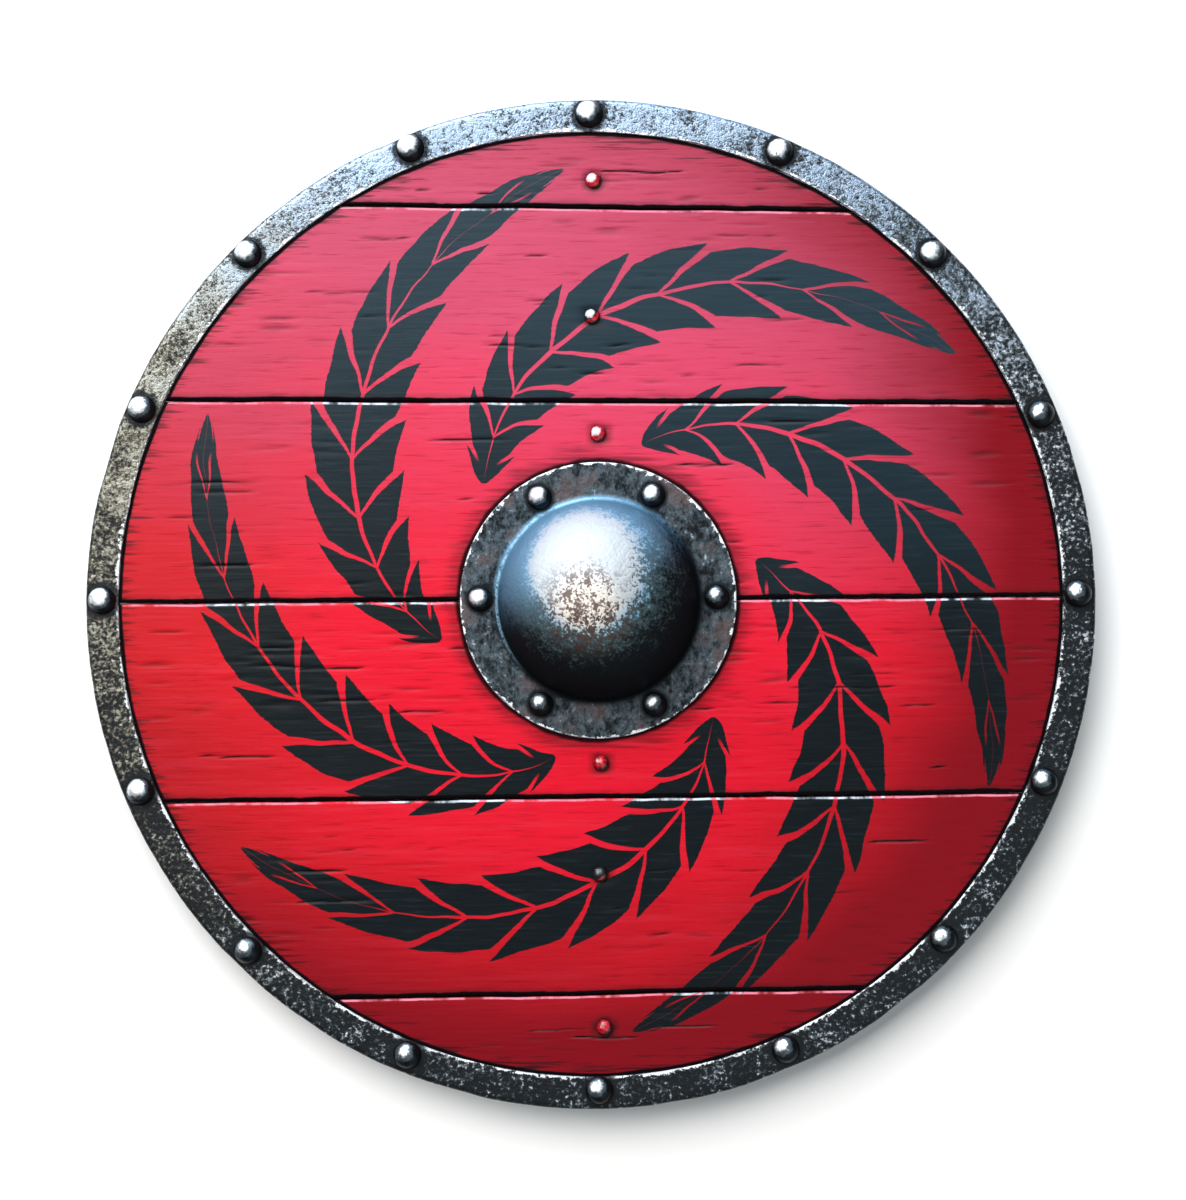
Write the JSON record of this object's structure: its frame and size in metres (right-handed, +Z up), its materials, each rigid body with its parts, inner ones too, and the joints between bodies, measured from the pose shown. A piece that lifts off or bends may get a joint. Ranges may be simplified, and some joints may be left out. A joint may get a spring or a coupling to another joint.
{
  "type": "wooden round shield",
  "caption": "Round shield of wooden boards with a folded and riveted steel rim, a domed steel boss over the hand hole and a grip bar behind; red paint with a black pattern.",
  "frame": {"origin": "on the surface that the shield lies on, under the middle of the rim", "axes": "+Z is up, out of the painted face and through the boss; +Y is towards the top of the shield, across the boards and along the grip bar; +X runs along the boards"},
  "size_m": [0.61, 0.61, 0.0798],
  "materials": {
    "painted_board": "worn red paint with a black painted pattern over open grain, bare dark wood on the back",
    "bare_wood": "dark oiled wood, rubbed smooth at the grip",
    "rim_steel": "hammered and pitted, dark patina rubbed back to bright metal",
    "boss_steel": "blackened steel, polished through on the dome",
    "rivet_steel": "bright worn heads with dark edges",
    "painted_nail": "painted over with the boards, scuffed"
  },
  "bodies": {
    "root": {"board_1": "painted_board", "board_2": "painted_board", "board_3": "painted_board", "board_4": "painted_board", "board_5": "painted_board", "board_6": "painted_board", "rim": "rim_steel", "boss": "boss_steel", "grip": "bare_wood", "rim_rivet_01": "rivet_steel", "rim_rivet_02": "rivet_steel", "rim_rivet_03": "rivet_steel", "rim_rivet_04": "rivet_steel", "rim_rivet_05": "rivet_steel", "rim_rivet_06": "rivet_steel", "rim_rivet_07": "rivet_steel", "rim_rivet_08": "rivet_steel", "rim_rivet_09": "rivet_steel", "rim_rivet_10": "rivet_steel", "rim_rivet_11": "rivet_steel", "rim_rivet_12": "rivet_steel", "rim_rivet_13": "rivet_steel", "rim_rivet_14": "rivet_steel", "rim_rivet_15": "rivet_steel", "rim_rivet_16": "rivet_steel", "boss_rivet_1": "rivet_steel", "boss_rivet_2": "rivet_steel", "boss_rivet_3": "rivet_steel", "boss_rivet_4": "rivet_steel", "boss_rivet_5": "rivet_steel", "boss_rivet_6": "rivet_steel", "board_nail_1": "painted_nail", "board_nail_2": "painted_nail", "board_nail_3": "painted_nail", "board_nail_4": "painted_nail", "board_nail_5": "painted_nail", "board_nail_6": "painted_nail"}
  },
  "joints": []
}
